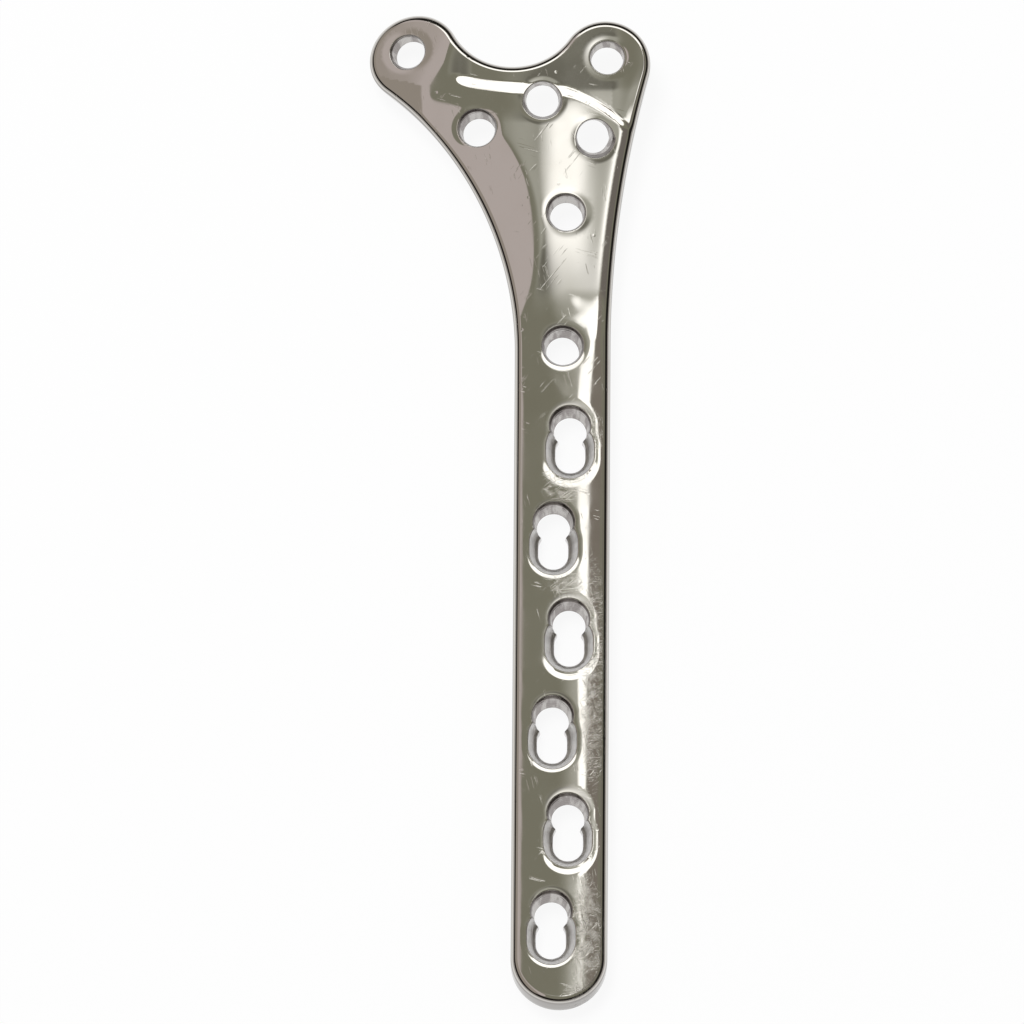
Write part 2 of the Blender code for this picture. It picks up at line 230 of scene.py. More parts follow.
# Scratches, all over and in scuffed places. Each set is turn, density, stretch and share of the face it covers
SCRATCH_SETS = [(14, 2200, 45, 0.32), (-38, 1900, 45, 0.32), (74, 2500, 45, 0.30)]
SCUFF_SETS = [(32, 5600, 26, 0.60), (-50, 5200, 24, 0.60), (96, 6000, 22, 0.55), (8, 5000, 28, 0.55)]
SCUFFS = [                       # middle on the blank, half sizes, turn and strength
    ((-0.0005, 0.0960), (0.0032, 0.0040), 0, 0.6),
    ((0.0005, 0.0775), (0.0035, 0.0025), -20, 0.5),
    ((0.0062, 0.0600), (0.0024, 0.0200), 0, 0.7),
    ((0.0050, 0.0125), (0.0032, 0.0095), 0, 1.0),
    ((0.0040, 0.0020), (0.0035, 0.0022), 30, 0.9),
    ((0.0045, 0.1060), (0.0030, 0.0040), 0, 0.5),
]

# Studio: what the steel reflects, by height of the direction, then patches over it in plan.
# A patch is colour, middle, half sizes, turn and softness
LIGHT, DARK, OLIVE = (0.50, 0.48, 0.46, 1), (0.02, 0.018, 0.016, 1), (0.275, 0.27, 0.21, 1)
DUSK = (0.22, 0.20, 0.18, 1)
SHADE, BROWN, PINK = (0.21, 0.205, 0.17, 1), (0.28, 0.25, 0.215, 1), (0.65, 0.585, 0.565, 1)
WHITE, PALE, TAUPE = (1.9, 1.9, 1.85, 1), (0.52, 0.52, 0.455, 1), (0.42, 0.375, 0.33, 1)
ROOM_STEPS = [(0.0, LIGHT), (0.27, LIGHT), (0.33, DARK), (0.70, DARK), (0.79, OLIVE), (1.0, OLIVE)]
ROOM_PATCHES = [
    (PALE, (0.0, 0.14), (0.13, 0.10), 0, 0.5),
    (PALE, (0.10, 0.317), (0.06, 0.10), 0, 0.9),
    (SHADE, (0.02, 0.215), (0.09, 0.035), 0, 0.5),
    (BROWN, (0.0, 0.52), (0.35, 0.12), 0, 0.08),
    (DUSK, (0.33, 0.13), (0.15, 0.20), 0, 0.06),
    (BROWN, (-0.20, 0.42), (0.15, 0.07), 0, 0.1),
    (BROWN, (0.185, 0.33), (0.034, 0.10), 0, 0.2),
    (PINK, (-0.39, 0.1), (0.188, 0.6), 0, 0.03),
    (TAUPE, (-0.57, 0.1), (0.20, 0.6), 0, 0.12),
    (WHITE, (0.10, 0.11), (0.062, 0.115), 0, 0.85),
    (WHITE, (0.126, 0.37), (0.036, 0.09), 0, 0.12),
    (WHITE, (0.02, 0.395), (0.16, 0.048), 0, 0.12),
    (WHITE, (-0.08, 0.525), (0.20, 0.10), 0, 0.12),
    (WHITE, (0.22, 0.48), (0.14, 0.08), -20, 0.15),
]
TENT_RADIUS = 8.0
TENT_SEGMENTS, TENT_RINGS = 96, 48
FLOOR_SIZE = 40.0
FLOOR_COLOUR = (0.9, 0.9, 0.9, 1)
PLAIN_WHITE = (1, 1, 1, 1)
FLOOR_WHITE = 0.90               # share of the floor that is plain white, the rest being lit and shadowed
WORLD_LEVEL = 0.55
LAMP_SIZE = 0.9
LAMP_PLACE = (-0.5, 0.7, 1.6)
LAMP_POWER = 18.0

# Camera, with places in the plate's frame
CAMERA_TILT = 18.5               # degrees off the plate's upright, towards the shaft's end
CAMERA_ROLL = -0.00718
CAMERA_DISTANCE = 3.0
FRAME_WIDTH = 0.18147            # what the frame spans at the camera's distance
SENSOR_WIDTH = 36.0
CAMERA_TARGET = (0.00972, -0.00152, 0.0)
CAMERA_SHIFT = (-0.00878, 0.00182)

NECK = END_MARGIN + (COMBINATION_COUNT - 1) * COMBINATION_PITCH + TOP_HOLE_STEP


# Contour of the plate

def smooth_step(value):
    value = np.clip(value, 0.0, 1.0)
    return value * value * (3 - 2 * value)


def bend_amount(along):
    """0 on the shaft and 1 on the head."""
    return smooth_step((along - NECK - FLARE_START) / FLARE_LENGTH)


def contour_height(across, along):
    way = along - NECK - FLARE_START
    share = np.clip(way / FLARE_LENGTH, 0.0, 1.0)
    rise = FLARE_SLOPE * (FLARE_LENGTH * (share ** 3 - share ** 4 / 2) + np.maximum(way - FLARE_LENGTH, 0.0))
    wrapped = np.maximum(WRAP_START - across, 0.0)
    return rise - bend_amount(along) * wrapped ** 2 / (2 * WRAP_RADIUS)


def unit(vectors):
    return vectors / np.linalg.norm(vectors, axis=-1, keepdims=True)


def contour_normal(across, along):
    step = SLOPE_STEP
    slope_across = (contour_height(across + step, along) - contour_height(across - step, along)) / (2 * step)
    slope_along = (contour_height(across, along + step) - contour_height(across, along - step)) / (2 * step)
    return unit(np.stack([-slope_across, -slope_along, np.ones_like(slope_across)], axis=-1))


def bent(across, along, height):
    """Where points of the flat blank go: thinned on the head, crowned, relieved below, and bent."""
    across, along, height = np.broadcast_arrays(*(np.asarray(v, float) for v in (across, along, height)))
    share = height / SHAFT_THICKNESS
    head = bend_amount(along)
    thickness = SHAFT_THICKNESS + (HEAD_THICKNESS - SHAFT_THICKNESS) * head
    crown = CROWN_DROP * (2 * across / SHAFT_WIDTH) ** 2 * (1 - head)
    channel = CHANNEL_DEPTH * np.maximum(0.0, 1 - (across / CHANNEL_HALF_WIDTH) ** 2) * (1 - head)
    channel = channel * smooth_step((along - CHANNEL_START) / CHANNEL_RUN_OUT)
    level = share * (thickness - crown) + (1 - share) * channel
    middle = np.stack([across, along, contour_height(across, along) + thickness / 2], axis=-1)
    return middle + contour_normal(across, along) * (level - thickness / 2)[..., None]


# Outline of the blank

def from_neck(place):
    return Vector((place[0], NECK + place[1]))


def flank_circle(side, start, ear, ear_radius):
    """The hollow arc that leaves the shaft's straight edge at start and runs into an ear's arc."""
    half = SHAFT_WIDTH / 2
    gap = half - side * ear.x
    rise = ear.y - NECK - start
    radius = (gap ** 2 + rise ** 2 - ear_radius ** 2) / (2 * (ear_radius - gap))
    return Vector((side * (half + radius), NECK + start)), radius, -1


def notch_circle(left, right):
    """The hollow arc between the ears, which runs into both of them."""
    left_reach = NOTCH_RADIUS + LEFT_EAR_RADIUS
    right_reach = NOTCH_RADIUS + RIGHT_EAR_RADIUS
    way = right - left
    along = (left_reach ** 2 - right_reach ** 2 + way.length_squared) / (2 * way.length)
    beside = sqrt(left_reach ** 2 - along ** 2)
    across_way = Vector((-way.y, way.x)).normalized()
    return left + way.normalized() * along + across_way * beside, NOTCH_RADIUS, -1


def outline_arcs():
    """Each arc of the outline as middle, radius, side (1 a bulge, -1 a hollow), first heading and turn."""
    half = SHAFT_WIDTH / 2
    left_ear = from_neck(LEFT_EAR_HOLE) + Vector(LEFT_EAR_SHIFT)
    right_ear = from_neck(RIGHT_EAR_HOLE) + Vector(RIGHT_EAR_SHIFT)
    circles = [
        (Vector((0, half)), half, 1),
        flank_circle(1, RIGHT_FLANK_START, right_ear, RIGHT_EAR_RADIUS),
        (right_ear, RIGHT_EAR_RADIUS, 1),
        notch_circle(left_ear, right_ear),
        (left_ear, LEFT_EAR_RADIUS, 1),
        flank_circle(-1, LEFT_FLANK_START, left_ear, LEFT_EAR_RADIUS),
    ]
    headings = []
    for start, end in zip(circles, circles[1:] + circles[:1]):
        way = end[0] - start[0]
        share = (end[2] * end[1] - start[2] * start[1]) / way.length
        headings.append(atan2(way.y, way.x) - asin(min(max(share, -1.0), 1.0)))
    return [(np.array(middle), radius, side, headings[i - 1], (side * (headings[i] - headings[i - 1])) % tau)
            for i, (middle, radius, side) in enumerate(circles)]


ARCS = outline_arcs()


def outline():
    """Points round the outline a small step apart, and at each the direction into the metal."""
    points, inward = [], []
    for middle, radius, side, heading, turn in ARCS:
        count = max(2, round(radius * turn / OUTLINE_STEP))
        headings = heading + side * turn * np.arange(count + 1) / count
        arc = middle + side * radius * np.stack([np.sin(headings), -np.cos(headings)], axis=1)
        if points:
            gap = np.linalg.norm(arc[0] - points[-1][-1])
            steps = round(gap / OUTLINE_STEP)
            if steps > 1:
                shares = np.arange(1, steps)[:, None] / steps
                points.append(points[-1][-1] + (arc[0] - points[-1][-1]) * shares)
                inward.append(np.repeat([[-np.sin(headings[0]), np.cos(headings[0])]], steps - 1, axis=0))
            if gap < OUTLINE_STEP / 2:
                arc, headings = arc[1:], headings[1:]
        points.append(arc)
        inward.append(np.stack([-np.sin(headings), np.cos(headings)], axis=1))
    first, last = points[0][0], points[-1][-1]
    steps = round(np.linalg.norm(first - last) / OUTLINE_STEP)
    shares = np.arange(1, steps)[:, None] / steps
    points.append(last + (first - last) * shares)
    inward.append(np.repeat(inward[0][:1], steps - 1, axis=0))
    return np.concatenate(points), np.concatenate(inward)


def edge_distance(across, along):
    """Distance of blank places to the outline, from its arcs and straight runs."""
    place = np.stack([across, along], axis=-1)
    nearest = np.full(across.shape, np.inf)
    for (middle, radius, side, heading, turn), following in zip(ARCS, ARCS[1:] + ARCS[:1]):
        way = place - middle
        seen = np.arctan2(way[..., 1], way[..., 0]) + side * pi / 2
        on_arc = (side * (seen - heading)) % tau <= turn
        off_arc = np.abs(np.hypot(way[..., 0], way[..., 1]) - radius)
        nearest = np.where(on_arc, np.minimum(nearest, off_arc), nearest)
        end_heading = heading + side * turn
        start = middle + side * radius * np.array([np.sin(end_heading), -np.cos(end_heading)])
        end = following[0] + following[2] * following[1] * np.array([np.sin(end_heading), -np.cos(end_heading)])
        run = end - start
        length = max(np.linalg.norm(run), TINY)
        share = np.clip(((place - start) @ run) / length ** 2, 0.0, 1.0)
        off_run = np.linalg.norm(place - start - share[..., None] * run, axis=-1)
        nearest = np.minimum(nearest, off_run)
    return nearest


# Polished outer face

def combination_place(index):
    side = 1 if index % 2 else -1
    return Vector((side * STAGGER, END_MARGIN + index * COMBINATION_PITCH))


THREADED_HOLES = [               # place, diameter at the lip and lean
    (from_neck((0, 0)), SHAFT_LIP_DIAMETER, SQUARE),
    (from_neck(LOW_HOLE), HEAD_LIP_DIAMETER, SQUARE),
    (from_neck(LEFT_HOLE), HEAD_LIP_DIAMETER, SQUARE),
    (from_neck(RIGHT_HOLE), HEAD_LIP_DIAMETER, RIGHT_HOLE_LEAN),
    (from_neck(TOP_HOLE), HEAD_LIP_DIAMETER, TOP_HOLE_LEAN),
    (from_neck(LEFT_EAR_HOLE), EAR_LIP_DIAMETER, SQUARE),
    (from_neck(RIGHT_EAR_HOLE), EAR_LIP_DIAMETER, SQUARE),
]


def softer_of(first, second):
    """The smaller of two distances, run together softly where they are alike."""
    share = np.clip(0.5 + (second - first) / (2 * DISH_BLEND), 0.0, 1.0)
    return second + (first - second) * share - DISH_BLEND * share * (1 - share) / 2


def dip(distance, depth, reach):
    return depth * np.maximum(0.0, 1 - np.maximum(distance, 0.0) / reach) ** 2


def soft_ramp(value, soft):
    """0 below zero and the value itself above, with a soft bend between."""
    return (np.sqrt(value ** 2 + soft ** 2) + value) / 2


def head_drop(across, along):
    """The soft forms of the head: right bevel, hump, ground flank, ear and shoulder."""
    above = along - NECK
    drop = BEVEL_SLOPE * soft_ramp(BEVEL_WIDTH - edge_distance(across, along), BEVEL_SOFT)
    drop = drop * smooth_step(across / BEVEL_FADE) * (1 - smooth_step((above - BEVEL_HIGH[0]) / BEVEL_HIGH[1]))
    share = np.clip((across - HUMP_START) / HUMP_WIDTH, 0.0, 1.0)
    hump = share / 2 - np.sin(tau * share) / (2 * tau)
    faded = smooth_step((above - HUMP_HIGH[0]) / HUMP_HIGH[1])
    hump = hump + (HUMP_REST - hump) * faded
    hump = HUMP_SLOPE * HUMP_WIDTH * hump * smooth_step((above - HUMP_LOW[0]) / HUMP_LOW[1])
    beside = (across - FLANK_MIDDLE[0]) / FLANK_SIZE[0]
    inside = (1 - np.hypot(beside, (above - FLANK_MIDDLE[1]) / FLANK_SIZE[1])) * FLANK_SIZE[0]
    flank = FLANK_SLOPE * soft_ramp(inside, FLANK_SOFT)
    left, up = EAR_CORNER[0] - across, above - EAR_CORNER[1]
    turn = radians(EAR_TURN)
    ear = np.maximum(left, left * np.cos(turn) + up * np.sin(turn))
    straight = np.maximum(POCKET_START - across, 0.0) ** 2 / (2 * WRAP_RADIUS)
    drop = drop + EAR_SLOPE * soft_ramp(ear, EAR_SOFT) - straight
    side = across - SHOULDER_MIDDLE[0]
    curve = np.where(side > 0, SHOULDER_CURVES[1], SHOULDER_CURVES[0])
    past = above - SHOULDER_MIDDLE[1] + curve * side ** 2
    amount = smooth_step((across - SHOULDER_START) / SHOULDER_RISE)
    amount = amount * (1 - smooth_step((across - SHOULDER_END) / SHOULDER_FALL))
    shoulder = SHOULDER_DROP * amount * smooth_step(past / SHOULDER_WIDTH + 0.5)
    shoulder = shoulder + SHOULDER_SLOPE * soft_ramp(above - SHOULDER_MIDDLE[1], SHOULDER_WIDTH)
    return drop * bend_amount(along) + hump + flank + shoulder


def polish_drop(across, along):
    """How far forging and polishing have taken the outer face down."""
    drop = head_drop(across, along)
    for place, lip_diameter, _ in THREADED_HOLES:
        distance = np.hypot(across - place.x, along - place.y) - lip_diameter / 2
        drop = drop + dip(distance, *THREADED_DISH)
    for index in range(COMBINATION_COUNT):
        place = combination_place(index)
        lock = np.hypot(across - place.x, along - place.y) - SHAFT_LIP_DIAMETER / 2
        depth, reach, drag = SLOT_DISHES[index % 2]
        nearest_middle = np.clip(along - place.y, -SLOT_FAR - drag, -SLOT_NEAR)
        slot = np.hypot(across - place.x, along - place.y - nearest_middle) - RAMP_DIAMETER / 2
        drop = drop + dip(softer_of(lock, slot), depth, reach)
    return drop


def polished(across, along, height):
    """The blank's points where the finished plate has them."""
    across, along = np.asarray(across, float), np.asarray(along, float)
    return bent(across, along, height * (1 - polish_drop(across, along) / SHAFT_THICKNESS))


def face_normals(across, along, height):
    """Exact normals of the outer face, so that mirror reflections on it stay smooth."""
    step = SLOPE_STEP
    by_across = polished(across + step, along, height) - polished(across - step, along, height)
    by_along = polished(across, along + step, height) - polished(across, along - step, height)
    return unit(np.cross(by_across, by_along))


# Mesh under construction

FINISHES = FACE, THREAD, COUNTERSINK, RAMP = range(4)


class Surface:
    """Rings and faces of one closed mesh. A ring is an array of point numbers."""

    def __init__(self):
        self.points = []
        self.count = 0
        self.quads = [[] for _ in FINISHES]
        self.triangles = []
        self.sharp = []
        self.face_rings = []             # rings on the outer face, as blank places and point numbers

    def add(self, points):
        self.points.append(points)
        ring = np.arange(self.count, self.count + len(points))
        self.count += len(points)
        return ring

    def join(self, upper, lower, finish=FACE, first=0, last=None):
        """Quads between two rings, facing out of the metal where the rings run with the metal on their left."""
        quads = np.stack([upper, lower, np.roll(lower, -1), np.roll(upper, -1)], axis=1)
        self.quads[finish].append(quads[first:last])

    def crease(self, rings, index):
        """A sharp line down a stack of rings."""
        column = [ring[index] for ring in rings]
        self.sharp += list(zip(column, column[1:]))


def inside_ring(places, ring):
    """Which places lie inside a closed polygon."""
    x, y = places[:, :1], places[:, 1:]
    x0, y0 = ring[:, 0], ring[:, 1]
    x1, y1 = np.roll(x0, -1), np.roll(y0, -1)
    rising = np.where(y1 == y0, TINY, y1 - y0)
    crossed = ((y0 > y) != (y1 > y)) & (x < (x1 - x0) * (y - y0) / rising + x0)
    return crossed.sum(axis=1) % 2 == 1


def grid_places(step, rings):
    """Places on an even triangular grid, inside the first ring and outside the others."""
    low, high = rings[0].min(axis=0), rings[0].max(axis=0)
    rise = step * sqrt(3) / 2
    rows = np.arange(low[1], high[1], rise)
    columns = np.arange(low[0], high[0], step)
    places = np.concatenate([np.stack([columns + (k % 2) * step / 2, np.full(len(columns), y)], axis=1)
                             for k, y in enumerate(rows)])
    keep = inside_ring(places, rings[0])
    for ring in rings[1:]:
        keep &= ~inside_ring(places, ring)
    places = places[keep]
    edge = np.concatenate(rings)
    tree = KDTree(len(edge))
    for number, place in enumerate(edge):
        tree.insert((place[0], place[1], 0), number)
    tree.balance()
    clear = [tree.find((x, y, 0))[2] > EDGE_CLEARANCE * step for x, y in places]
    return places[clear]


def fill_face(surface, height, step, loops, upward):
    """Fills a face of the plate between its loops. A loop is its blank places and its ring of point numbers."""
    rings = [places for places, _ in loops]
    inner = grid_places(step, rings)
    inner_ring = surface.add(polished(inner[:, 0], inner[:, 1], height))
    numbers = np.concatenate([ring for _, ring in loops] + [inner_ring])
    places = np.concatenate(rings + [inner])
    edges, start = [], 0
    for ring in rings:
        count = len(ring)
        edges += [(start + k, start + (k + 1) % count) for k in range(count)]
        start += count
    scaled = [Vector(place) * MESH_SCALE for place in places]
    found, _, faces, origins, _, _ = delaunay_2d_cdt(scaled, edges, [], 0, MESH_MERGE)
    faces = np.array(faces)
    own = np.array([group[0] if group else -1 for group in origins])
    middles = np.array([tuple(v) for v in found])[faces].mean(axis=1) / MESH_SCALE
    keep = inside_ring(middles, rings[0])
    for ring in rings[1:]:
        keep &= ~inside_ring(middles, ring)
    triangles = numbers[own[faces[keep]]]
    surface.triangles.append(triangles if upward else triangles[:, ::-1])
    return places, numbers


# Rims and holes

def build_rims(surface):
    """The rounded outer edge, the side wall and the bone side's edge. Gives the two faces' outer loops."""
    points, inward = outline()
    thickness, outer, bone = SHAFT_THICKNESS, OUTER_EDGE_RADIUS, BONE_EDGE_RADIUS
    turns = np.arange(RIM_ROWS + 1) * pi / 2 / RIM_ROWS
    rows = [(outer * (1 - np.sin(t)), thickness - outer * (1 - np.cos(t))) for t in turns]
    side = thickness - outer - bone
    rows += [(0.0, thickness - outer - side * k / SIDE_ROWS) for k in range(1, SIDE_ROWS)]
    turns = np.arange(BONE_RIM_ROWS + 1) * pi / 2 / BONE_RIM_ROWS
    rows += [(bone * (1 - np.cos(t)), bone * (1 - np.sin(t))) for t in turns]
    rings = []
    for inset, height in rows:
        places = points + inward * inset
        rings.append(surface.add(polished(places[:, 0], places[:, 1], height)))
    for upper, lower in zip(rings, rings[1:]):
        surface.join(upper, lower)
    return (points + inward * outer, rings[0]), (points + inward * bone, rings[-1])


class Axis:
    """A hole's own frame: its middle on the outer face, and its axis out of the plate."""

    def __init__(self, place, lean=SQUARE):
        self.place = np.array(place)
        self.origin = bent(place.x, place.y, SHAFT_THICKNESS)
        self.out = unit(contour_normal(np.array(place.x), np.array(place.y)) - np.array([lean[0], lean[1], 0.0]))
        right = np.array([1.0, 0.0, 0.0])
        self.right = unit(right - (right @ self.out) * self.out)
        self.up = np.cross(self.out, self.right)

    def at(self, u, v, w):
        return self.origin + u[..., None] * self.right + v[..., None] * self.up + w[..., None] * self.out

    def meet(self, u, v, height):
        """Where lines along the axis meet a face of the plate: blank places, and heights in this frame."""
        places = self.place + np.stack([u, v], axis=-1)
        for _ in range(MEET_TRIES):
            way = polished(places[:, 0], places[:, 1], height) - self.origin
            places = places + np.stack([u - way @ self.right, v - way @ self.up], axis=-1)
        way = polished(places[:, 0], places[:, 1], height) - self.origin
        return places, way @ self.out


def lock_radius(w, lip):
    """Radius of a threaded hole, to the root of its thread, at a height in its own frame."""
    heights = [-SHAFT_THICKNESS, -COUNTERSINK_DEPTH, -LIP_BREAK, 0.0]
    return np.interp(w, heights, [THREAD_END_DIAMETER / 2, lip - COUNTERSINK_STEP, lip - LIP_BREAK, lip])


def thread_crest(w, angle, knee):
    """How far the thread stands in from its root."""
    turn = w / THREAD_PITCH - angle / tau
    wave = 0.5 + 0.5 * np.cos(tau * turn)
    return THREAD_HEIGHT * wave ** THREAD_FULLNESS * smooth_step((knee - w) / THREAD_START)


def face_rings(surface, rows):
    """Rings on the outer face round a hole, from the outermost in to the lip. Gives the outermost and the lip's."""
    rings = [surface.add(polished(places[:, 0], places[:, 1], SHAFT_THICKNESS)) for places in rows]
    surface.face_rings += list(zip(rows, rings))
    for outer, inner in zip(rings, rings[1:]):
        surface.join(inner, outer)
    return (rows[0], rings[0]), rings[-1]


def join_wall(surface, rings, threaded=None):
    """Skins a hole: its lip polished like the face, then the countersink, then the thread and the slot's ramp.

    Only the first so many points of each ring belong to the threaded part, or all of them.
    """
    for index, (upper, lower) in enumerate(zip(rings, rings[1:])):
        if index < LIP_ROWS:
            surface.join(lower, upper)
            continue
        finish = COUNTERSINK if index < LIP_ROWS + COUNTERSINK_ROWS else THREAD
        surface.join(lower, upper, finish, 0, threaded)
        if threaded:
            surface.join(lower, upper, RAMP, threaded)


def thread_hole(surface, place, lip_diameter, lean):
    """The wall of a threaded hole, from its polished lip to the bone side."""
    lip = lip_diameter / 2
    axis = Axis(place, lean)
    angle = np.arange(AROUND_HOLE) * tau / AROUND_HOLE
    cos_a, sin_a = np.cos(angle), np.sin(angle)
    radius = np.full(AROUND_HOLE, lip)
    for _ in range(SETTLE_TRIES):
        places, top = axis.meet(radius * cos_a, radius * sin_a, SHAFT_THICKNESS)
        radius = lock_radius(np.minimum(top, 0.0), lip) + LIP_ROUND
    outward = np.stack([cos_a, sin_a], axis=1)
    rows = [places + outward * FACE_ROW_STEP * k for k in range(FACE_ROWS, -1, -1)]
    upper_loop, lip_ring = face_rings(surface, rows)
    bottom_radius = np.full(AROUND_HOLE, THREAD_END_DIAMETER / 2 + BONE_BREAK)
    lower_loop, bottom = axis.meet(bottom_radius * cos_a, bottom_radius * sin_a, 0.0)
    rings = [lip_ring]

    def add_ring(r, w):
        rings.append(surface.add(axis.at(r * cos_a, r * sin_a, w)))

    for k in range(1, LIP_ROWS + 1):
        turn = k * LIP_TURN / LIP_ROWS
        start = top - LIP_ROUND * (1 - np.cos(turn))
        start_radius = radius - LIP_ROUND * np.sin(turn)
        add_ring(start_radius, start)
    knee = np.minimum(-COUNTERSINK_DEPTH, start - COUNTERSINK_LEAST)
    knee_radius = lock_radius(knee, lip)
    for k in range(1, COUNTERSINK_ROWS + 1):
        share = k / COUNTERSINK_ROWS
        add_ring(start_radius + (knee_radius - start_radius) * share, start + (knee - start) * share)
    end = bottom + BONE_BREAK
    for k in range(1, THREAD_ROWS + 1):
        w = knee + (end - knee) * k / THREAD_ROWS
        add_ring(lock_radius(w, lip) - thread_crest(w, angle, knee), w)
    rings.append(surface.add(polished(lower_loop[:, 0], lower_loop[:, 1], 0.0)))
    join_wall(surface, rings)
    return upper_loop, (lower_loop, rings[-1])


def slot_radius(w):
    """Half width of a compression slot at a height below the outer face."""
    depths = np.linspace(LIP_BREAK, RAMP_DEPTH, RAMP_SAMPLES)
    ramp = np.sqrt(RAMP_SPHERE_RADIUS ** 2 - (RAMP_SPHERE_HEIGHT + depths) ** 2)
    heights = np.concatenate([[-SHAFT_THICKNESS, -RAMP_DEPTH - RAMP_STEP], -depths[::-1], [0.0]])
    return np.interp(w, heights, np.concatenate([[SLOT_WIDTH / 2] * 2, ramp[::-1], [RAMP_DIAMETER / 2]]))


def combination_plan(heights, grow=0.0, knee=None):
    """Places round a combination hole's two parts, from the right waist over the top and back round the slot.

    heights gives each place's height in the profiles, grow widens both parts, and a knee adds the thread.
    """
    half = slot_radius(heights) + grow

    def lock(angle, w):
        radius = lock_radius(w, SHAFT_LIP_DIAMETER / 2) + grow
        return radius if knee is None else radius - thread_crest(w, angle, knee)

    waist = []
    for index, side in ((0, 1), (AROUND_LOCK, -1)):
        angle = -FIRST_WAIST if side > 0 else pi + FIRST_WAIST
        for _ in range(SETTLE_TRIES):
            radius = lock(angle, heights[index])
            y = (half[index] ** 2 - radius ** 2 - SLOT_NEAR ** 2) / (2 * SLOT_NEAR)
            x = sqrt(radius ** 2 - y ** 2)
            angle = atan2(y, x) if side > 0 else pi - atan2(y, x)
        waist.append((angle, atan2(y + SLOT_NEAR, side * x)))
    shares = np.arange(AROUND_LOCK) / AROUND_LOCK
    angles = waist[0][0] + (waist[1][0] - waist[0][0]) * shares
    radii = lock(angles, heights[:AROUND_LOCK])
    parts = [np.stack([radii * np.cos(angles), radii * np.sin(angles)], axis=1)]
    half = half[AROUND_LOCK:]
    runs = [(waist[1][1], pi, -SLOT_NEAR, -SLOT_NEAR), (pi, pi, -SLOT_NEAR, -SLOT_FAR),
            (pi, tau, -SLOT_FAR, -SLOT_FAR), (tau, tau, -SLOT_FAR, -SLOT_NEAR),
            (tau, tau + waist[0][1], -SLOT_NEAR, -SLOT_NEAR)]
    first = 0
    for (turn_start, turn_end, middle_start, middle_end), count in zip(runs, AROUND_SLOT):
        shares = np.arange(count) / count
        turn = turn_start + (turn_end - turn_start) * shares
        middle = middle_start + (middle_end - middle_start) * shares
        radii = half[first:first + count]
        parts.append(np.stack([radii * np.cos(turn), middle + radii * np.sin(turn)], axis=1))
        first += count
    return np.concatenate(parts)


def combination_hole(surface, place):
    """The wall of a combination hole: a threaded part that runs into a compression slot with a ramp."""
    axis = Axis(place)
    around = AROUND_LOCK + sum(AROUND_SLOT)
    top = np.zeros(around)
    for _ in range(SETTLE_TRIES):
        plan = combination_plan(np.minimum(top, 0.0), LIP_ROUND)
        top = axis.meet(plan[:, 0], plan[:, 1], SHAFT_THICKNESS)[1]
    plans = [combination_plan(np.minimum(top, 0.0), LIP_ROUND + FACE_ROW_STEP * k)
             for k in range(FACE_ROWS, -1, -1)]
    rows = [axis.meet(plan[:, 0], plan[:, 1], SHAFT_THICKNESS)[0] for plan in plans]
    upper_loop, lip_ring = face_rings(surface, rows)
    plan = combination_plan(np.full(around, -SHAFT_THICKNESS), BONE_BREAK)
    lower_loop, bottom = axis.meet(plan[:, 0], plan[:, 1], 0.0)
    rings = [lip_ring]

    def add_ring(plan, w):
        rings.append(surface.add(axis.at(plan[:, 0], plan[:, 1], w)))

    for k in range(1, LIP_ROWS + 1):
        turn = k * LIP_TURN / LIP_ROWS
        start = top - LIP_ROUND * (1 - np.cos(turn))
        add_ring(combination_plan(np.minimum(top, 0.0), LIP_ROUND * (1 - np.sin(turn))), start)
    knee = np.minimum(-COUNTERSINK_DEPTH, start - COUNTERSINK_LEAST)
    for k in range(1, COUNTERSINK_ROWS + 1):
        w = start + (knee - start) * k / COUNTERSINK_ROWS
        add_ring(combination_plan(w), w)
    end = bottom + BONE_BREAK
    for k in range(1, THREAD_ROWS + 1):
        w = knee + (end - knee) * k / THREAD_ROWS
        add_ring(combination_plan(w, knee=-COUNTERSINK_DEPTH), w)
    rings.append(surface.add(polished(lower_loop[:, 0], lower_loop[:, 1], 0.0)))
    join_wall(surface, rings, AROUND_LOCK)
    surface.crease(rings[1:], 0)
    surface.crease(rings[1:], AROUND_LOCK)
    return upper_loop, (lower_loop, rings[-1])


